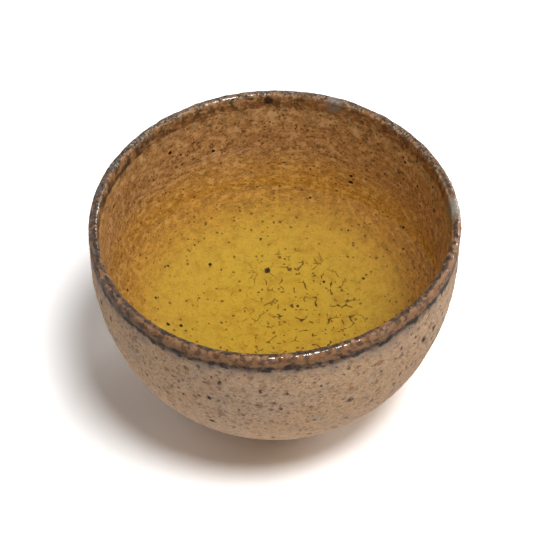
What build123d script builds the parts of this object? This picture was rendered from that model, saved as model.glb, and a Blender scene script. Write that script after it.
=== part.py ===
from build123d import *

import os
from math import acos, atan2, cos, degrees, radians, sin, sqrt

# A hand-thrown stoneware tea bowl with tea in it.
#
# The clay body is one wall of revolution: upright under the lip, easing into a round
# belly, and turned flat underneath. A low foot ring is luted to that flat with a bed of
# slip. The hollow is lined with glaze up to the lip, an iron-rich coat wraps the lip
# itself, and the tea stands level in the lined hollow.
#
# Frame: millimetres, +Z up, origin at the centre of the foot ring's resting face.

# ---- driving dimensions ----

# the lip and the wall
rim_diameter = 119.6  # bare clay, across the outside of the lip
bowl_height = 77.0  # floor to the top of the bare clay lip
lip_thickness = 2.4  # clay at the lip, before it is rounded
wall_thickness = 3.8  # clay wall, below the stretch that thins towards the lip
shoulder_radius = 84.6  # the easy curve from the upright stretch into the belly
shoulder_angle = 20.7  # how far that curve turns, in degrees

# the floor of the hollow
base_thickness = 4.2  # clay on the axis, between the hollow and the turned flat
floor_radius = 75.0  # sweep of the hollow's floor
floor_blend = 22.0  # blend between the floor and the wall

# the foot
foot_height = 4.8  # height of the ring that stands on the table
foot_width = 5.6  # radial width of the ring where it is luted on
foot_seat_diameter = 55.0  # the turned flat under the belly
foot_ledge = 0.9  # flat left bare outside the ring
foot_taper = 0.6  # how far each side of the ring leans in towards the table
foot_round = 0.9  # rounding of the ring's two resting edges
recess_depth = 0.7  # shallow hollow turned in the base inside the ring
recess_margin = 1.6  # flat left between that hollow and the ring
slip_thickness = 0.4  # bed of slip between the ring and the flat
slip_bead = 0.5  # slip squeezed out on both sides of the ring

# coats and contents
lining_thickness = 0.35  # glaze inside
lip_coat_thickness = 0.25  # iron-rich coat over the lip
lip_coat_outside = 4.4  # how far the coat runs down the outside
lip_coat_inside = 3.2  # how far it runs down the inside, where it meets the lining
tea_below_lip = 21.5  # from the top of the clay lip down to the tea

# ---- sizes worked out from them ----

rim_radius = rim_diameter / 2
seat_radius = foot_seat_diameter / 2
base_level = foot_height + slip_thickness
floor_level = base_level + base_thickness
lip_round = 0.45 * lip_thickness
lining_top = bowl_height - lip_coat_inside
tea_level = bowl_height - tea_below_lip
headroom = bowl_height + wall_thickness  # a height that is clear above the lip

# The belly is part of a sphere on the bowl's axis, cut off by the turned flat. The
# shoulder leaves it in line, and whatever height is left above the shoulder is upright.
turn = radians(shoulder_angle)
belly_radius = (rim_radius - shoulder_radius * (1 - cos(turn))) / cos(turn)
belly_level = base_level + sqrt(belly_radius**2 - seat_radius**2)
upright_foot = belly_level + (shoulder_radius - belly_radius) * sin(turn)

foot_outer = seat_radius - foot_ledge
foot_inner = foot_outer - foot_width


def hollow_section(inset, top):
    """Half of the bowl's hollow as a sketch, inset from the bare clay and filled up to
    the height top. Every curve keeps its centre, so the inset is even all along."""
    wall = wall_thickness + inset
    bend = shoulder_radius - wall
    mouth = rim_radius - lip_thickness - inset
    # the wall thins along a straight rise that leaves the shoulder's curve in line and
    # leans out to the mouth
    bend_centre = Vector(rim_radius - shoulder_radius, upright_foot)
    to_mouth = Vector(mouth, bowl_height) - bend_centre
    lean = degrees(acos(bend / to_mouth.length) - atan2(to_mouth.Y, to_mouth.X))
    with BuildSketch(Plane.XZ) as section:
        with BuildLine():
            belly = CenterArc(
                (0, belly_level), belly_radius - wall, -shoulder_angle, shoulder_angle - 90
            )
            shoulder = CenterArc(
                (bend_centre.X, bend_centre.Y), bend, -shoulder_angle, shoulder_angle - lean
            )
            Polyline(
                shoulder @ 1, (mouth, bowl_height), (mouth, headroom), (0, headroom), belly @ 1
            )
        make_face()
        # the floor is a shallow dish, blended into the wall
        with Locations((0, floor_level + floor_radius)):
            Circle(floor_radius - inset, mode=Mode.INTERSECT)
        floor_corner = section.vertices().sort_by(Axis.Y)[1]
        fillet(floor_corner, floor_blend - inset)
        # only what lies under the stated height is kept
        with Locations((0, top)):
            Rectangle(
                rim_diameter,
                bowl_height,
                align=(Align.CENTER, Align.MAX),
                mode=Mode.INTERSECT,
            )
    return section.sketch


# ---- the thrown clay body ----

with BuildSketch(Plane.XZ) as body_section:
    with BuildLine():
        shoulder = JernArc(
            (rim_radius, upright_foot), (0, -1), shoulder_radius, -shoulder_angle
        )
        belly = TangentArc(shoulder @ 1, (seat_radius, base_level), tangent=shoulder % 1)
        Polyline(
            belly @ 1,
            (0, base_level),
            (0, bowl_height),
            (rim_radius, bowl_height),
            shoulder @ 0,
        )
    make_face()
    add(hollow_section(0, headroom), mode=Mode.SUBTRACT)
    lip_corners = vertices().group_by(Axis.Y)[-1]
    fillet(lip_corners, lip_round)

with BuildPart() as clay_body:
    add(body_section.sketch)
    revolve(axis=Axis.Z)
    with BuildSketch(Plane.XY.offset(base_level)):
        Circle(foot_inner - recess_margin)
    extrude(amount=recess_depth, taper=30, mode=Mode.SUBTRACT)

# ---- the foot ring and the slip that lutes it on ----

with BuildPart() as foot_ring:
    with BuildSketch(Plane.XZ):
        with BuildLine():
            Polyline(
                (foot_inner, foot_height),
                (foot_outer, foot_height),
                (foot_outer - foot_taper, 0),
                (foot_inner + foot_taper, 0),
                close=True,
            )
        make_face()
        fillet(vertices().group_by(Axis.Y)[0], foot_round)
    revolve(axis=Axis.Z)

with BuildPart() as luting_slip:
    with BuildSketch(Plane.XZ):
        with BuildLine():
            Polyline(
                (foot_inner - slip_bead, base_level),
                (foot_outer + slip_bead, base_level),
                (foot_outer, foot_height),
                (foot_inner, foot_height),
                close=True,
            )
        make_face()
    revolve(axis=Axis.Z)

# ---- the glaze inside and the coat on the lip ----

with BuildPart() as glaze_lining:
    with BuildSketch(Plane.XZ):
        add(hollow_section(0, lining_top))
        add(hollow_section(lining_thickness, lining_top), mode=Mode.SUBTRACT)
    revolve(axis=Axis.Z)

with BuildPart() as lip_coat:
    with BuildSketch(Plane.XZ):
        add(body_section.sketch)
        offset(amount=lip_coat_thickness)
        add(body_section.sketch, mode=Mode.SUBTRACT)
        # the coat ends higher on the inside than on the outside
        middle = rim_radius - lip_thickness / 2
        with BuildSketch(Plane.XZ, mode=Mode.INTERSECT):
            with Locations((middle, headroom)):
                Rectangle(
                    wall_thickness,
                    headroom - bowl_height + lip_coat_outside,
                    align=(Align.MIN, Align.MAX),
                )
                Rectangle(
                    wall_thickness,
                    headroom - lining_top,
                    align=(Align.MAX, Align.MAX),
                )
    revolve(axis=Axis.Z)

# ---- the tea ----

with BuildPart() as tea:
    with BuildSketch(Plane.XZ):
        add(hollow_section(lining_thickness, tea_level))
    revolve(axis=Axis.Z)

# ---- one STEP file for each piece ----

pieces = {
    "clay_body": clay_body,
    "foot_ring": foot_ring,
    "luting_slip": luting_slip,
    "glaze_lining": glaze_lining,
    "lip_coat": lip_coat,
    "tea": tea,
}
os.makedirs("parts", exist_ok=True)
for name, piece in pieces.items():
    piece.part.label = name
    export_step(piece.part, f"parts/{name}.step")
    print(f"{name}: {piece.part.volume / 1000:.1f} cm3")
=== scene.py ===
from math import acos, atan2, ceil, cos, exp, pi, radians, sin, sqrt, tan

import bmesh
import bpy
from mathutils import Color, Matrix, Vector, noise


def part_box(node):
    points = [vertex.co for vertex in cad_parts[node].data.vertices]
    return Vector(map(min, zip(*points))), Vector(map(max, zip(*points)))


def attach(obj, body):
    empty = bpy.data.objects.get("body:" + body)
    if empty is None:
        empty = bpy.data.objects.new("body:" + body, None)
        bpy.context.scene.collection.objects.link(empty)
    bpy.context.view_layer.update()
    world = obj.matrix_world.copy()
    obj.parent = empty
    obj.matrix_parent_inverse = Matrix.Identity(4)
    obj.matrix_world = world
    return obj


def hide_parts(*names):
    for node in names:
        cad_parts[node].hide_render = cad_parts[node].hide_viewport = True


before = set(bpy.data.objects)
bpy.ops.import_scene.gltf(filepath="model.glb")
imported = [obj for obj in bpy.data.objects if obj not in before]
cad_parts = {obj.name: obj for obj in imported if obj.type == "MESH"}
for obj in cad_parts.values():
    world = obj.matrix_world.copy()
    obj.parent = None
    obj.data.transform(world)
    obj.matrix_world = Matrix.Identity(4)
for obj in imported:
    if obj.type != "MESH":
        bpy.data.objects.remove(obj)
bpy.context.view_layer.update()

# ---- the view ----
# The bowl is seen from in front and from above, so that the whole inside shows down to
# the floor under the tea.

mm = 0.001
view_rise = radians(46.94)
view_distance = 730 * mm
view_height = 49.94 * mm

camera = bpy.data.objects.new("camera", bpy.data.cameras.new("camera"))
bpy.context.collection.objects.link(camera)
towards_camera = Vector((0, -cos(view_rise), sin(view_rise)))
camera.location = Vector((0, 0, view_height)) + view_distance * towards_camera
camera.rotation_euler = towards_camera.to_track_quat("Z", "Y").to_euler()
camera.data.lens = 145.3
camera.data.shift_x = 0.00135
bpy.context.scene.camera = camera

# ---- the table and the light ----
# A plain white table under one high soft lamp, in front of the bowl and to its right, with
# three weak ones behind it that soften the shadow and catch the lip. To the eye the lit
# table and the room are white, and only the bowl's shadow is drawn on them.


class Wire:
    """A socket in a shader. Sums on wires add Math nodes, and node() adds any other node."""

    def __init__(self, socket):
        self.socket = socket

    def node(self, kind, settings, inputs, output=0):
        tree = self.socket.id_data
        made = tree.nodes.new("ShaderNode" + kind)
        for name, value in settings.items():
            setattr(made, name, value)
        for name, value in inputs.items():
            if isinstance(value, Wire):
                tree.links.new(value.socket, made.inputs[name])
            else:
                made.inputs[name].default_value = value
        return Wire(made.outputs[output]) if made.outputs else None

    def output(self, name):
        return Wire(self.socket.node.outputs[name])

    def math(self, operation, *values):
        return self.node("Math", {"operation": operation}, dict(enumerate(values)))

    def __add__(self, other):
        return self.math("ADD", self, other)

    def __radd__(self, other):
        return self.math("ADD", other, self)

    def __sub__(self, other):
        return self.math("SUBTRACT", self, other)

    def __rsub__(self, other):
        return self.math("SUBTRACT", other, self)

    def __mul__(self, other):
        return self.math("MULTIPLY", self, other)

    def __rmul__(self, other):
        return self.math("MULTIPLY", other, self)

    def __pow__(self, power):
        return self.math("POWER", self, power)

    def rise(self, start, end):
        """0 up to start and 1 from end on, or the other way round, with a soft step between."""
        return self.node(
            "MapRange",
            {"interpolation_type": "SMOOTHSTEP"},
            {"Value": self, "From Min": start, "From Max": end},
        )


def start_shader(tree):
    """Empties a node tree and gives the wire that carries the piece's own coordinates."""
    tree.nodes.clear()
    return Wire(tree.nodes.new("ShaderNodeTexCoord").outputs["Object"])


def tint(red, green, blue):
    """A colour as it is seen, from 0 to 255, as a shader takes it."""
    seen = Color((red / 255, green / 255, blue / 255))
    return (*seen.from_srgb_to_scene_linear(), 1)


table_white = 0.9
table_seen = 1.6  # bright enough that the lit table is white to the eye
table_half = 0.6
room_light = 0.05
room_gloss = 0.45  # added to the room's light where it is mirrored

bm = bmesh.new()
bmesh.ops.create_grid(bm, x_segments=1, y_segments=1, size=table_half)
table = bpy.data.objects.new("table", bpy.data.meshes.new("table"))
bm.to_mesh(table.data)
bm.free()
bpy.context.collection.objects.link(table)
table_paper = bpy.data.materials.new("table_paper")
table_paper.use_nodes = True
place = start_shader(table_paper.node_tree)
path = place.node("LightPath", {}, {}, "Is Camera Ray")
seen = path.math("MAXIMUM", path, path.output("Is Transmission Ray"))
paper = table_white + seen * (table_seen - table_white)
shine = place.node("BsdfDiffuse", {}, {"Color": paper})
place.node("OutputMaterial", {}, {"Surface": shine})
table.data.materials.append(table_paper)

world = bpy.data.worlds.new("room")
bpy.context.scene.world = world
world.use_nodes = True
place = start_shader(world.node_tree)
seen = place.node("LightPath", {}, {}, "Is Camera Ray")
glow = room_light + seen * (1 - room_light) + seen.output("Is Glossy Ray") * room_gloss
sky = place.node("Background", {}, {"Color": (1, 1, 1, 1), "Strength": glow})
place.node("OutputWorld", {}, {"Surface": sky})


def hang_lamp(name, bearing, rise, width, light):
    """A round soft lamp. Its bearing counts from the right-hand side towards the back, and it
    is as many degrees wide as seen from the bowl. Its light is the share of full light that
    it puts on the table."""
    lamp = bpy.data.objects.new(name, bpy.data.lights.new(name, "AREA"))
    bpy.context.collection.objects.link(lamp)
    level = cos(radians(rise))
    towards_lamp = Vector(
        (level * cos(radians(bearing)), level * sin(radians(bearing)), sin(radians(rise)))
    )
    lamp.data.shape = "DISK"
    lamp.data.size = 2 * lamp_distance * tan(radians(width / 2))
    lamp.data.energy = light / towards_lamp.z * (pi * lamp_distance) ** 2
    lamp.location = towards_lamp * lamp_distance
    lamp.rotation_euler = towards_lamp.to_track_quat("Z", "Y").to_euler()


lamp_distance = 2
hang_lamp("high_lamp", -50, 71, 20, 0.74)
hang_lamp("back_lamp", 150, 38, 44, 0.055)
hang_lamp("window", 43, 13, 26, 0.08)
hang_lamp("far_bulb", 66, 54, 5, 0.014)

bpy.context.scene.view_settings.view_transform = "Standard"

# ---- the thrown clay body ----
# One wall of coarse stoneware thrown on the wheel: upright under the lip, then easing
# round into a full belly that is turned flat for the foot. It is fired bare outside,
# rough with grog, and pitted and speckled with iron.

clay_low, clay_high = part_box("clay_body")
rim_radius = clay_high.x
lip_level = clay_high.z
base_level = clay_low.z
foot_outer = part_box("foot_ring")[1].x
foot_ledge = 0.9 * mm
seat_radius = foot_outer + foot_ledge
lip_thickness = 2.4 * mm
wall_thickness = 3.8 * mm
shoulder_radius = 84.6 * mm
shoulder_turn = radians(20.7)
lip_round = 0.45 * lip_thickness
recess_radius = 19.4 * mm
recess_depth = 0.7 * mm
recess_lean = 0.4 * mm
base_thickness = 4.2 * mm
floor_sweep = 75 * mm
floor_blend = 22 * mm

belly_radius = (rim_radius - shoulder_radius * (1 - cos(shoulder_turn))) / cos(shoulder_turn)
belly_level = base_level + sqrt(belly_radius**2 - seat_radius**2)
upright_foot = belly_level + (shoulder_radius - belly_radius) * sin(shoulder_turn)
belly_centre = Vector((0, 0, belly_level))
shoulder_centre = Vector((rim_radius - shoulder_radius, 0, upright_foot))
floor_centre = Vector((0, 0, base_level + base_thickness + floor_sweep))


def start_outline(radius, level):
    """Opens an outline at a point of the half section, and gives its mesh and that corner."""
    bm = bmesh.new()
    bm.verts.layers.float.new("along")
    return bm, bm.verts.new((radius, 0, level))


def drawn_end(drawn):
    """The far end of a stretch of outline that has just been drawn."""
    return next(part for part in drawn["geom_last"] if isinstance(part, bmesh.types.BMVert))


def run(bm, corner, radius, level, spacing):
    """Carries an outline straight on to a new corner."""
    way = Vector((radius, 0, level)) - corner.co
    steps = ceil(way.length / spacing)
    return drawn_end(
        bmesh.ops.spin(
            bm, geom=[corner], cent=corner.co, axis=(0, 1, 0), dvec=way / steps, steps=steps
        )
    )


def sweep(bm, corner, centre, turn, spacing):
    """Carries an outline on round an arc. A positive turn goes clockwise in the section."""
    steps = ceil((corner.co - centre).length * abs(turn) / spacing)
    return drawn_end(
        bmesh.ops.spin(bm, geom=[corner], cent=centre, axis=(0, 1, 0), angle=turn, steps=steps)
    )


def slope(centre, point):
    """The direction from a centre to a point of the section, above the horizontal."""
    return atan2(point.z - centre.z, point.x - centre.x)


def mouth_at(inset, level):
    """Radius of the hollow's straight rise at a level near the lip, and that rise's lean."""
    bend = shoulder_radius - wall_thickness - inset
    mouth = Vector((rim_radius - lip_thickness - inset, 0, lip_level))
    to_mouth = (mouth - shoulder_centre).length
    lean = acos(bend / to_mouth) - slope(shoulder_centre, mouth)
    return mouth.x - (lip_level - level) * tan(lean), lean


def sink(bm, corner, inset, spacing):
    """Carries an outline from a corner on the hollow's wall down to the middle of its floor."""
    bend = shoulder_radius - wall_thickness - inset
    belly = belly_radius - wall_thickness - inset
    floor = floor_sweep - inset
    blend = floor_blend - inset
    rise = floor_centre.z - belly_level
    blend_drop = ((belly - blend) ** 2 - (floor - blend) ** 2 + rise**2) / (2 * rise)
    blend_out = sqrt((belly - blend) ** 2 - blend_drop**2)
    blend_centre = Vector((blend_out, 0, belly_level + blend_drop))
    belly_end = slope(belly_centre, blend_centre)
    floor_start = slope(floor_centre, blend_centre)
    lean = mouth_at(inset, lip_level)[1]
    foot = shoulder_centre + bend * Vector((cos(lean), 0, -sin(lean)))
    if corner.co.z > foot.z:
        corner = run(bm, corner, foot.x, foot.z, spacing)
    shoulder_start = slope(shoulder_centre, corner.co)
    corner = sweep(bm, corner, shoulder_centre, shoulder_start + shoulder_turn, spacing)
    corner = sweep(bm, corner, belly_centre, -shoulder_turn - belly_end, spacing)
    corner = sweep(bm, corner, blend_centre, belly_end - floor_start, spacing)
    return sweep(bm, corner, floor_centre, floor_start + pi / 2, spacing)


def turn_on_wheel(bm, steps):
    """Spins an outline round the bowl's axis and closes it. A twelfth of the turn is spun in
    that many steps and then repeated, which is quicker than one long spin."""
    round_axis = {"cent": (0, 0, 0), "axis": (0, 0, 1)}
    twelfth = 2 * pi / 12
    outline = bm.verts[:] + bm.edges[:]
    bmesh.ops.spin(bm, geom=outline, angle=twelfth, steps=steps, **round_axis)
    slice_of_bowl = bm.verts[:] + bm.edges[:] + bm.faces[:]
    bmesh.ops.spin(
        bm, geom=slice_of_bowl, angle=11 * twelfth, steps=11, use_duplicate=True, **round_axis
    )
    bmesh.ops.remove_doubles(bm, verts=bm.verts, dist=0.002 * mm)
    bmesh.ops.recalc_face_normals(bm, faces=bm.faces)
    if bm.calc_volume(signed=True) < 0:
        bmesh.ops.reverse_faces(bm, faces=bm.faces)
    bm.normal_update()


def throw(point):
    """Where the potter's hand left a point: the lip isn't quite round, nor quite level. The
    amounts of its waves, in millimetres, came out of a fit to the lip's outline."""
    angle = atan2(point.y, point.x)
    hold = exp(-((max(lip_level - point.z, 0) / (14 * mm)) ** 2)) * mm
    lift = (
        0.18 * cos(angle)
        - 0.13 * cos(2 * angle)
        - 0.31 * sin(2 * angle)
        - 0.32 * cos(3 * angle)
        - 0.08 * sin(3 * angle)
    )
    spread = (
        0.46 * sin(2 * angle)
        - 0.44 * cos(2 * angle)
        + 0.20 * cos(3 * angle)
        - 0.07 * sin(3 * angle)
    )
    return point + hold * Vector((spread * cos(angle), spread * sin(angle), lift))


def dimples(point, spacing, radius, share):
    """Depth, from 0 to 1, of round dimples strewn over a share of the cells of a lattice."""
    distances, seeds = noise.voronoi(point / spacing)
    if noise.cell(seeds[0] * 91.7) > share:
        return 0
    away = distances[0] * spacing / radius
    return max(0, 1 - away**2) ** 2


def clay_relief(point):
    """How far the rough clay stands out at a point: grog, sandy grain and pits."""
    drawn = Vector((point.x, point.y, 2.2 * point.z))
    grog = noise.noise(drawn / (7 * mm)) * 0.14
    sand = noise.noise(drawn / (2.2 * mm)) * 0.12
    pits = dimples(point, 3.4 * mm, 0.9 * mm, 0.5) * 0.24
    lumps = dimples(point + Vector((1, 1, 1)), 4.5 * mm, 1.3 * mm, 0.5) * 0.16
    return (grog + sand + lumps - pits) * mm


def finish_piece(name, bm, material):
    """Smooths the mesh's shading, makes it an object on the bowl's one body, and paints it."""
    for face in bm.faces:
        face.smooth = True
    piece = bpy.data.objects.new(name, bpy.data.meshes.new(name))
    bm.to_mesh(piece.data)
    bm.free()
    bpy.context.collection.objects.link(piece)
    piece.data.materials.append(material)
    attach(piece, "root")
    return piece


def lip_wander(point):
    """How far the iron's edge wanders up or down the wall at a point."""
    around = Vector((point.x, point.y, 0)).normalized() * rim_radius
    return (noise.noise(around / (9 * mm)) * 0.9 + noise.noise(around / (3 * mm)) * 0.45) * mm


fine = 0.78 * mm
coarse = 6 * mm  # where glaze covers the clay
glazed_from = lip_level - 5 * mm
bm, corner = start_outline(0, base_level + recess_depth)
corner = run(bm, corner, recess_radius - recess_lean, base_level + recess_depth, 2 * mm)
corner = run(bm, corner, recess_radius, base_level, 1 * mm)
corner = run(bm, corner, seat_radius, base_level, 2 * mm)
belly_foot = slope(belly_centre, corner.co)
corner = sweep(bm, corner, belly_centre, belly_foot + shoulder_turn, fine)
corner = sweep(bm, corner, shoulder_centre, -shoulder_turn, fine)
corner = run(bm, corner, rim_radius, lip_level - lip_round, fine)
corner = sweep(bm, corner, corner.co - Vector((lip_round, 0, 0)), -pi / 2, fine)
inner_lip = mouth_at(0, lip_level - lip_round)[0]
corner = run(bm, corner, inner_lip + lip_round, lip_level, fine)
corner = sweep(bm, corner, corner.co - Vector((0, 0, lip_round)), -pi / 2, fine)
corner = run(bm, corner, mouth_at(0, glazed_from)[0], glazed_from, fine)
corner = sink(bm, corner, 0, coarse)
turn_on_wheel(bm, 40)
depth = bm.verts.layers.float["along"]
for vert in bm.verts:
    outward = Vector((vert.co.x, vert.co.y, 0)).normalized()
    shown = vert.normal.dot(outward) > 0.2 or vert.co.z < base_level + 2 * mm
    vert[depth] = lip_level - vert.co.z + lip_wander(vert.co)
    rough = clay_relief(vert.co) if shown else 0
    vert.co = throw(vert.co + rough * vert.normal)


def cloud(place, size, detail=3, roughness=0.5):
    """Soft patches of about a size, from 0 to 1 with most near the middle."""
    return place.node(
        "TexNoise",
        {},
        {"Vector": place, "Scale": 1 / size, "Detail": detail, "Roughness": roughness},
    )


def stretched(place, across, up):
    """Coordinates on which patterns come out longer or shorter across and up the wall."""
    return place.node(
        "VectorMath", {"operation": "MULTIPLY"}, {0: place, 1: (1 / across, 1 / across, 1 / up)}
    )


def ragged(place, size, push):
    """Coordinates pushed about by soft noise, so that what is drawn on them has ragged edges."""
    shake = place.node("TexNoise", {}, {"Vector": place, "Scale": 1 / size}, "Color")
    centred = shake.node(
        "VectorMath", {"operation": "SUBTRACT"}, {0: shake, 1: (0.5, 0.5, 0.5)}
    )
    return centred.node(
        "VectorMath", {"operation": "MULTIPLY_ADD"}, {0: centred, 1: (push, push, push), 2: place}
    )


def specks(place, spacing, largest, rarity=1.5, soft=0.15 * mm):
    """Specks about that far apart. The largest has that radius, and the rest are smaller."""
    cells = place.node("TexVoronoi", {}, {"Vector": place, "Scale": 1 / spacing})
    chance = place.node("SeparateColor", {}, {"Color": cells.output("Color")})
    reach = chance**rarity * ((largest + soft) / spacing)
    return (reach - cells).rise(0, soft / spacing)


def lay(mask, under, over):
    """One colour laid over another where the mask is 1."""
    return mask.node("Mix", {"data_type": "RGBA"}, {0: mask, 6: under, 7: over}, 2)


def stoneware(name, body, warm, cool):
    """Bare fired stoneware: cloudy body colour, sandy grain, rust, iron specks and pits."""
    material = bpy.data.materials.new(name)
    material.use_nodes = True
    place = start_shader(material.node_tree)
    loose = ragged(place, 1.3 * mm, 1.1 * mm)
    dragged = stretched(loose, 1.2, 1)

    colour = lay(cloud(place, 24 * mm).rise(0.36, 0.64), body, warm)
    colour = lay(cloud(place, 6 * mm, 4).rise(0.5, 0.72) * 0.5, colour, cool)
    mottle = cloud(dragged, 2.2 * mm, 4, 0.6)
    colour = lay(mottle.rise(0.5, 0.7) * 0.4, colour, tint(224, 196, 168))
    colour = lay(mottle.rise(0.5, 0.3) * 0.45, colour, tint(112, 82, 62))
    grain = cloud(dragged, 0.75 * mm, 3, 0.75)
    colour = lay(grain.rise(0.5, 0.68) * 0.55, colour, tint(232, 208, 180))
    colour = lay(grain.rise(0.5, 0.32) * 0.52, colour, tint(96, 70, 54))
    rust = specks(loose, 4.1 * mm, 1.1 * mm, 1.5, 0.5 * mm)
    colour = lay(rust * 0.6, colour, tint(150, 98, 62))
    pits = specks(stretched(loose, 1.4, 1), 1.7 * mm, 0.5 * mm, 1.2)
    colour = lay(pits * 0.6, colour, tint(98, 70, 54))
    broken = stretched(ragged(place, 0.9 * mm, 1.7 * mm), 1, 1.4)
    fringe = specks(broken, 3.9 * mm, 0.9 * mm, 1.4, 0.6 * mm)
    colour = lay(fringe * 0.7, colour, tint(96, 64, 48))
    iron = specks(broken, 3.9 * mm, 0.6 * mm, 1.4, 0.3 * mm)
    colour = lay(iron, colour, tint(24, 17, 15))
    freckles = specks(broken, 2.1 * mm, 0.5 * mm, 1.4, 0.25 * mm)
    colour = lay(freckles * 0.85, colour, tint(62, 42, 34))

    height = grain * 0.5 + mottle * 0.4 - pits * 0.5 - freckles * 0.2
    return material, place, colour, height


def fire(material, place, colour, roughness, height, depth, **gloss):
    """Puts a finish together from its colour, its roughness and its fine relief."""
    normal = place.node("Bump", {}, {"Strength": 0.8, "Distance": depth, "Height": height})
    inputs = {"Base Color": colour, "Roughness": roughness, "Normal": normal, **gloss}
    surface = place.node("BsdfPrincipled", {}, inputs)
    place.node("OutputMaterial", {}, {"Surface": surface})
    return material


clay_body_colour = tint(211, 171, 135)
clay_warm_colour = tint(218, 173, 129)
clay_cool_colour = tint(172, 152, 138)
band_colour = tint(172, 126, 86)
bleed_colour = tint(28, 25, 25)
smoke_colour = tint(132, 118, 108)


def bleed_line(down, place):
    """Where the iron has gathered blue-black along the coat's edge, in a row of blots."""
    wander = down + (cloud(place, 5 * mm, 2) - 0.5) * 2
    blots = cloud(ragged(place, 1.5 * mm, mm), 2.6 * mm, 4)
    thick = wander.rise(2.0, 4.4) * wander.rise(7.8, 5.2)
    thick = (thick + (blots - 0.47) * 2.7).rise(0.55, 1.3)
    thin = wander.rise(3, 4.6) * wander.rise(7, 4.9) * (0.35 + 0.5 * blots)
    return thick.math("MAXIMUM", thick, thin)


material, place, colour, height = stoneware(
    "bare_stoneware", clay_body_colour, clay_warm_colour, clay_cool_colour
)
below_lip = place.node("Attribute", {"attribute_name": "along"}, {}, "Fac") * (1 / mm)
smoke = below_lip.rise(12, 4.6) * cloud(place, 5 * mm, 4).rise(0.3, 0.62)
colour = lay(smoke * 0.7, colour, smoke_colour)
# Paler towards the foot: painted light, standing in for the light that the white table throws up
# under the belly.
colour = lay(below_lip.rise(25, 62) * 0.2, colour, tint(236, 202, 166))
colour = lay(below_lip.rise(4.8, 4.2), colour, band_colour)
colour = lay(bleed_line(below_lip, place) * 0.94, colour, bleed_colour)
bare_clay = fire(material, place, colour, 0.82, height, 0.22 * mm)

clay_body = finish_piece("clay_body_shell", bm, bare_clay)
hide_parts("clay_body")

# ---- the foot ring and the slip that holds it ----
# A low ring rolled from the same clay, stuck to the turned flat with a bed of slip. The
# slip has squeezed out a little along both edges of the ring and was left there.

foot_low, foot_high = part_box("foot_ring")
slip_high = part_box("luting_slip")[1]
foot_width = 5.6 * mm
foot_taper = 0.6 * mm
foot_round = 0.9 * mm
foot_inner = foot_outer - foot_width

bm, corner = start_outline(foot_inner, foot_high.z)
corner = run(bm, corner, foot_inner + foot_taper - 0.1 * mm, foot_round, 0.9 * mm)
corner = sweep(bm, corner, corner.co + Vector((foot_round, 0, 0)), -pi / 2, 0.5 * mm)
corner = run(bm, corner, foot_outer - foot_taper - foot_round, 0, 0.9 * mm)
corner = sweep(bm, corner, corner.co + Vector((0, 0, foot_round)), -pi / 2, 0.5 * mm)
corner = run(bm, corner, foot_outer, foot_high.z, 0.9 * mm)
corner = run(bm, corner, foot_inner, foot_high.z, 1.5 * mm)
turn_on_wheel(bm, 22)
for vert in bm.verts:
    if foot_low.z + 0.4 * mm < vert.co.z < foot_high.z - 0.2 * mm:
        vert.co += clay_relief(vert.co) * vert.normal
material, place, colour, height = stoneware(
    "foot_stoneware", clay_body_colour, clay_warm_colour, clay_cool_colour
)
foot_clay = fire(material, place, colour, 0.82, height, 0.22 * mm)
foot = finish_piece("foot_ring_turned", bm, foot_clay)
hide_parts("foot_ring")

bead = 0.35 * mm
keyed = 0.3 * mm  # how far in over the ring the bead at each edge reaches
bm, corner = start_outline(foot_inner + keyed, slip_high.z)
corner = run(bm, corner, foot_inner - bead, slip_high.z, 0.3 * mm)
corner = run(bm, corner, foot_inner - bead * 0.7, foot_high.z - 0.15 * mm, 0.2 * mm)
corner = run(bm, corner, foot_inner + keyed, foot_high.z - 0.25 * mm, 0.3 * mm)
corner = run(bm, corner, foot_outer - keyed, foot_high.z - 0.25 * mm, 2 * mm)
corner = run(bm, corner, foot_outer + bead * 0.7, foot_high.z - 0.15 * mm, 0.3 * mm)
corner = run(bm, corner, foot_outer + bead, slip_high.z, 0.2 * mm)
corner = run(bm, corner, foot_inner + keyed, slip_high.z, 2 * mm)
turn_on_wheel(bm, 25)
for vert in bm.verts:
    outward = Vector((vert.co.x, vert.co.y, 0)).normalized()
    squeeze = noise.noise(vert.co / (4 * mm)) * 0.2 * mm
    vert.co += vert.normal.dot(outward) * squeeze * outward
material, place, colour, height = stoneware(
    "luting_slip", tint(140, 118, 102), tint(150, 122, 98), tint(120, 110, 104)
)
slip_clay = fire(material, place, colour, 0.86, height, 0.15 * mm)
slip = finish_piece("luting_slip_bed", bm, slip_clay)
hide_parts("luting_slip")

# ---- the glaze inside ----
# A thin clear-brown glaze poured in and swirled out. It follows the throwing lines, so it
# is streaked round the wall, and on the floor it lies thicker and has crazed. Iron from
# the clay has bled through it in dark specks.

lining_thickness = 0.35 * mm
lining_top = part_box("glaze_lining")[1].z


def glaze_relief(point, along):
    """Fine throwing ridges under the glaze, with a few softened grains and pinholes."""
    around = Vector((point.x, point.y, 0)).normalized()
    ridges = noise.noise(Vector((around.x * 2, around.y * 2, along / (1.9 * mm)))) * 0.05
    ripple = noise.noise(Vector((around.x * 9, around.y * 9, along / (1.3 * mm)))) * 0.05
    grains = dimples(point, 4.2 * mm, 1.1 * mm, 0.4) * 0.09
    holes = dimples(point + Vector((3, 1, 2)), 5 * mm, 0.7 * mm, 0.3) * 0.10
    groove = exp(-(((lip_level - point.z - 7.5 * mm) / (1.6 * mm)) ** 2)) * 0.1
    return (ridges + ripple + grains - holes - groove) * mm


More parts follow.
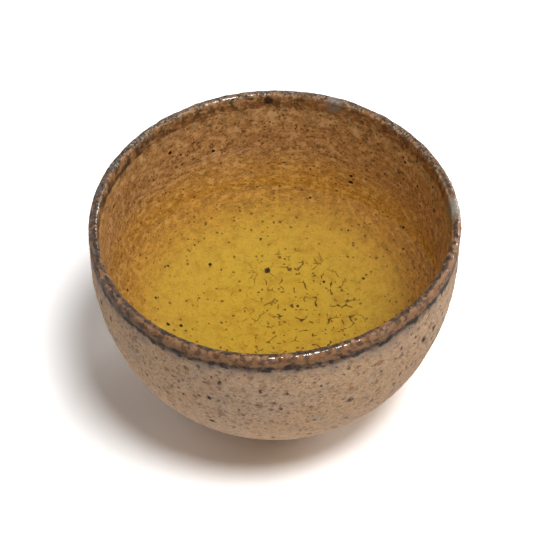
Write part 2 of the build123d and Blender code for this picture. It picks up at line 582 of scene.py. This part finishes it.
buried = 0.12 * mm  # how far the back of the glaze stands in the clay
bm, edge = start_outline(mouth_at(lining_thickness, lining_top)[0], lining_top)
sink(bm, edge, lining_thickness, 0.8 * mm)
along = bm.verts.layers.float["along"]
for vert in bm.verts:
    vert[along] = belly_radius * (slope(belly_centre, vert.co) + pi / 2)
top_edge = run(bm, edge, mouth_at(-buried, lining_top)[0], lining_top, mm)
top_edge[along] = 0
sink(bm, top_edge, -buried, coarse)
turn_on_wheel(bm, 40)
feather = 5 * mm  # the glaze thins to nothing over this much of its top
for vert in bm.verts:
    if vert[along] > 0:
        thin = max(0, 1 - (lining_top - vert.co.z) / feather) * (lining_thickness + buried)
        vert.co += (glaze_relief(vert.co, vert[along]) - thin) * vert.normal
    vert.co = throw(vert.co)

material = bpy.data.materials.new("lining_glaze")
material.use_nodes = True
place = start_shader(material.node_tree)
up_wall = place.node("Attribute", {"attribute_name": "along"}, {}, "Fac")
flat = place.node("VectorMath", {"operation": "MULTIPLY"}, {0: place, 1: (1, 1, 0)})
around = flat.node("VectorMath", {"operation": "NORMALIZE"}, {0: flat})
parts = around.node("SeparateXYZ", {}, {"Vector": around})


def brushed(length, width):
    """Coordinates in which noise of size 1 makes strokes of that length round the wall."""
    turns = rim_radius / length
    return parts.node(
        "CombineXYZ",
        {},
        {"X": parts * turns, "Y": parts.output("Y") * turns, "Z": up_wall * (1 / width)},
    )


level = place.node("SeparateXYZ", {}, {"Vector": place}, "Z") * (1 / mm)
lip_mm = lip_level / mm
loose = ragged(place, 1.2 * mm, 0.9 * mm)
wall = level.rise(13, 36)
streaky = wall * (0.5 + 0.5 * level.rise(42, 57))
colour = lay(wall, tint(212, 186, 138), tint(200, 148, 90))
colour = lay(cloud(place, 4 * mm, 5, 0.6).rise(0.46, 0.7) * 0.35, colour, tint(158, 104, 58))
bands = cloud(brushed(34 * mm, 2.2 * mm), 1, 3, 0.6)
colour = lay(bands.rise(0.52, 0.3) * (0.05 + 0.3 * wall), colour, tint(120, 76, 40))
strokes = cloud(brushed(3.4 * mm, 1.9 * mm), 1, 4, 0.62)
colour = lay(strokes.rise(0.5, 0.34) * (0.1 + 0.55 * streaky), colour, tint(104, 62, 30))
colour = lay(strokes.rise(0.52, 0.66) * (0.1 + 0.65 * wall), colour, tint(232, 184, 122))
grain = cloud(loose, 0.8 * mm, 3, 0.7)
colour = lay(grain.rise(0.5, 0.32) * (0.22 + 0.33 * streaky), colour, tint(104, 64, 30))
colour = lay(grain.rise(0.5, 0.68) * (0.25 + 0.3 * wall), colour, tint(232, 192, 138))
flecks = cloud(loose, 2.4 * mm, 3).rise(0.54, 0.64) * wall
colour = lay(flecks * 0.75, colour, tint(232, 186, 134))
pinholes = specks(ragged(place, mm, mm), 1.5 * mm, 0.36 * mm, 1.3, 0.2 * mm) * streaky
colour = lay(pinholes * 0.75, colour, tint(70, 44, 26))


def olive_zone(down, place):
    """How far the iron has turned the glaze olive, and the tan crumbs that stand in it."""
    patches = cloud(ragged(place, 2 * mm, 2 * mm), 3 * mm, 4).rise(0.42, 0.62)
    crumbs = cloud(ragged(place, 1.2 * mm, 0.9 * mm), 1.9 * mm, 3).rise(0.53, 0.62)
    return down.rise(11, 3) * patches, crumbs


olive_colour = tint(84, 62, 38)
crumb_colour = tint(214, 172, 122)
olive, crumbs = olive_zone(lip_mm - level, place)
colour = lay(olive * 0.7, colour, olive_colour)
colour = lay((lip_mm - level).rise(10, 4) * crumbs * 0.8, colour, crumb_colour)
dots = specks(stretched(loose, 1.3, 1), 1.5 * mm, 0.4 * mm, 1.3, 0.15 * mm)
colour = lay(dots * 0.8, colour, tint(100, 60, 28))
iron = specks(loose, 4.4 * mm, 0.65 * mm, 1.6)
blotted = ragged(place, 1.3 * mm, 1.7 * mm)
strays = specks(blotted, 15 * mm, 1.5 * mm)  # the few big ones, scattered at random
iron = iron.math("MAXIMUM", iron, strays)
colour = lay(iron, colour, tint(16, 12, 8))

netting = ragged(place, 3.5 * mm, 2.4 * mm)
cracks = netting.node(
    "TexVoronoi", {"feature": "DISTANCE_TO_EDGE"}, {"Vector": netting, "Scale": 1 / (4.6 * mm)}
)
open_width = cloud(place, 2.2 * mm, 2).rise(0.44, 0.62) * 0.055
rightward = place.node("SeparateXYZ", {}, {"Vector": place}).rise(-22 * mm, 12 * mm)
crazed = (open_width - cracks).rise(0, 0.02) * level.rise(19, 13) * (0.2 + 0.8 * rightward)
colour = lay(crazed * 0.95, colour, tint(78, 40, 16))

height = strokes * 0.35 + grain * 0.35 + bands * 0.2 - iron * 0.2 - crazed * 0.2 - dots * 0.2
wet_line = level.rise(54, 57)
gloss = {"Specular IOR Level": 0.15, "Coat Weight": wet_line * 0.35, "Coat Roughness": 0.28}
lining_glaze = fire(material, place, colour, 0.6, height, 0.12 * mm, **gloss)
lining = finish_piece("glaze_lining_poured", bm, lining_glaze)
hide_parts("glaze_lining")

# ---- the coat on the lip ----
# Iron wash brushed round the lip and fired in glassy beads. It is blue-black along the
# crest and where it ends outside, and it thins to orange-tan between. Its edges wander.

coat_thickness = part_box("lip_coat")[1].z - lip_level
coat_outside = 4.9 * mm
coat_inside = 6.5 * mm
coat_step = 0.36 * mm
crest = rim_radius - lip_thickness / 2
outer_end = 6.6 * mm  # from the crest over the lip to where the coat has thinned to nothing
inner_end = 8.1 * mm
coat_feather = 4 * mm
marker = 20 * mm  # added to the distances of the outer skin while the outline is spun

outer_foot = lip_level - coat_outside
inner_foot = lip_level - coat_inside
bm, corner = start_outline(rim_radius, outer_foot)
corner = run(bm, corner, rim_radius, lip_level - lip_round, coat_step)
corner = sweep(bm, corner, corner.co - Vector((lip_round, 0, 0)), -pi / 2, coat_step)
corner = run(bm, corner, inner_lip + lip_round, lip_level, coat_step)
corner = sweep(bm, corner, corner.co - Vector((0, 0, lip_round)), -pi / 2, coat_step)
corner = run(bm, corner, mouth_at(0, inner_foot)[0], inner_foot, coat_step)
along = bm.verts.layers.float["along"]
for vert in bm.verts:
    side = 1 if vert.co.x > crest else -1
    vert[along] = side * (lip_level - vert.co.z) + vert.co.x - crest + marker
back = 0.3 * mm  # how far the coat's back lies in the clay
buried_top = lip_level - back - 0.4 * mm
corner = run(bm, corner, corner.co.x + back, inner_foot, back)
corner = run(bm, corner, inner_lip + lip_round, buried_top, 2 * mm)
corner = run(bm, corner, rim_radius - lip_round, buried_top, 2 * mm)
corner = run(bm, corner, rim_radius - back, outer_foot, 2 * mm)
corner = run(bm, corner, rim_radius, outer_foot, back)
corner[along] = coat_outside + lip_thickness / 2 + marker
turn_on_wheel(bm, 75)
for vert in bm.verts:
    if vert[along] == 0:
        vert.co = throw(vert.co)
        continue
    vert[along] -= marker
    outside = min(max(vert[along] / (2 * mm), 0), 1)
    edge = vert[along] + lip_wander(vert.co) * outside
    reach = outer_end - edge if edge > 0 else inner_end + edge
    body = min(max(reach / coat_feather, -0.3), 1)
    crumbs = noise.noise(vert.co / (0.9 * mm)) * 0.05 + noise.noise(vert.co / (2 * mm)) * 0.08
    rough = clay_relief(vert.co) if vert[along] > 0 else 0
    vert[along] = edge
    raised = coat_thickness * body + crumbs * mm * max(body, 0) + rough
    vert.co = throw(vert.co + raised * vert.normal)

material = bpy.data.materials.new("iron_coat")
material.use_nodes = True
place = start_shader(material.node_tree)
down = place.node("Attribute", {"attribute_name": "along"}, {}, "Fac") * (1 / mm)
loose = ragged(place, 1.3 * mm, 1.1 * mm)
mottle = cloud(loose, 1.8 * mm, 4, 0.6)
colour = lay(mottle.rise(0.46, 0.66), band_colour, tint(150, 100, 62))
smudges = cloud(loose, 2.2 * mm, 4).rise(0.47, 0.62)
colour = lay(smudges * 0.75, colour, tint(84, 60, 44))
olive, crumbs = olive_zone(down * -1 - 1.2, place)
grain = cloud(loose, 1.1 * mm, 4, 0.7)
inner = lay(grain.rise(0.36, 0.64), tint(146, 102, 62), tint(196, 142, 90))
inner = lay(olive * 0.7, inner, olive_colour)
inner = lay(crumbs * 0.8, inner, crumb_colour)
colour = lay(down.rise(-0.3, -1.4), colour, inner)
wander = down + (cloud(place, 3 * mm, 3) - 0.5) * 2.4
broken = cloud(ragged(place, 1.2 * mm, mm), 2.2 * mm, 4, 0.65)
crest_zone = wander.rise(-2.0, -0.8) * wander.rise(1.1, -0.1)
across = place.node("SeparateXYZ", {}, {"Vector": place})
far_side = across.output("Y").rise(0, 35 * mm)
pepper = cloud(loose, 1.2 * mm, 3, 0.7)
broken = broken + far_side * (pepper - broken - 0.08)
crest_line = (crest_zone + (broken - 0.5) * 2.8).rise(0.5, 1.05)
colour = lay(crest_line * 0.9, colour, tint(54, 41, 30))
# A dark line over the outer side of the crest, on the far side only: painted shade on the part of
# the lip that the lamps behind the bowl would light.
painted_rim_shade = far_side * down.rise(-0.4, 0.5) * down.rise(2.4, 1.4)
colour = lay(painted_rim_shade * (0.4 + 0.6 * pepper.rise(0.42, 0.58)), colour, tint(52, 44, 38))
# Pale flecks along the crest, on the far side only: painted glints where the glassy coat catches
# the light.
painted_glints = cloud(ragged(place, 0.8 * mm, mm), 1.1 * mm, 3, 0.7).rise(0.54, 0.62)
painted_glints = painted_glints * far_side * wander.rise(-3.4, -1.2) * wander.rise(1.6, 0.4)
# Darker in patches over the left-hand part of the lip.
darker_on_left = across.rise(-26 * mm, -52 * mm) * cloud(loose, 3 * mm, 3).rise(0.34, 0.6)
colour = lay(darker_on_left * 0.75, colour, tint(62, 52, 46))
# The painted glints laid on the far crest.
colour = lay(painted_glints * 0.8, colour, tint(196, 182, 160))
colour = lay(bleed_line(down - 1.2, place) * 0.94, colour, bleed_colour)


def patch(x, y, z, radius):
    """A ragged patch round a point of the lip, all in millimetres."""
    middle = Vector((x, y, z)) * mm
    away = loose.node("VectorMath", {"operation": "DISTANCE"}, {0: loose, 1: middle}, "Value")
    return away.rise(radius * mm, radius * mm / 2)


colour = lay(patch(58, 5, 74, 7) * 0.6, colour, tint(168, 166, 150))
colour = lay(patch(20, 54, 76, 4) * 0.5, colour, tint(150, 148, 144))
colour = lay(patch(-2, 57, 75, 2.4) * 0.9, colour, tint(36, 27, 21))
sand = cloud(place, 0.6 * mm, 3, 0.7)
height = mottle * 0.5 + sand * 1.2
glassy = cloud(loose, 0.8 * mm, 3).rise(0.5, 0.56) * wander.rise(-3, -1.5) * wander.rise(2.5, 1)
beads = {"Coat Weight": glassy, "Coat Roughness": 0.16, "Coat IOR": 1.8}
gloss = {"Specular IOR Level": 0.2, **beads}
iron_coat = fire(material, place, colour, 0.55, height, 0.45 * mm, **gloss)
coat = finish_piece("lip_coat_brushed", bm, iron_coat)
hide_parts("lip_coat")

# ---- the tea ----
# Clear golden tea standing in the lined hollow, level, and drawn up a little where it
# meets the wall.

tea_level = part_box("tea")[1].z
meniscus = 0.12 * mm
soak = 0.3 * mm  # the tea's side stands this far inside the glaze, so that no gap shows
wall_inset = lining_thickness - soak
tea_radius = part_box("tea")[1].x

bm, corner = start_outline(0, tea_level)
corner = run(bm, corner, tea_radius - meniscus, tea_level, 1.5 * mm)
corner = sweep(bm, corner, corner.co + Vector((0, 0, meniscus)), -radians(40), 0.12 * mm)
edge_level = corner.co.z
bend = shoulder_radius - wall_thickness - wall_inset
edge_radius = shoulder_centre.x + sqrt(bend**2 - (edge_level - upright_foot) ** 2)
corner = run(bm, corner, edge_radius, edge_level, 0.3 * mm)
sink(bm, corner, wall_inset, 1.5 * mm)
turn_on_wheel(bm, 30)

material = bpy.data.materials.new("tea_liquid")
material.use_nodes = True
place = start_shader(material.node_tree)
water = {"Base Color": (1, 1, 1, 1), "Roughness": 0, "IOR": 1.333, "Transmission Weight": 1}
liquid = place.node("BsdfPrincipled", {}, water)
clear = place.node("BsdfTransparent", {}, {"Color": (1, 1, 1, 1)})
path = place.node("LightPath", {}, {}, "Is Shadow Ray")
liquid = place.node("MixShader", {}, {0: path, 1: liquid, 2: clear})
liquid = place.node("MixShader", {}, {0: path.output("Is Diffuse Ray"), 1: liquid, 2: clear})
steeped = place.node(
    "VolumeAbsorption", {}, {"Color": (0.942, 0.885, 0.1, 1), "Density": 25.0}
)
place.node("OutputMaterial", {}, {"Surface": liquid, "Volume": steeped})
tea = finish_piece("tea_poured", bm, material)
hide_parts("tea")
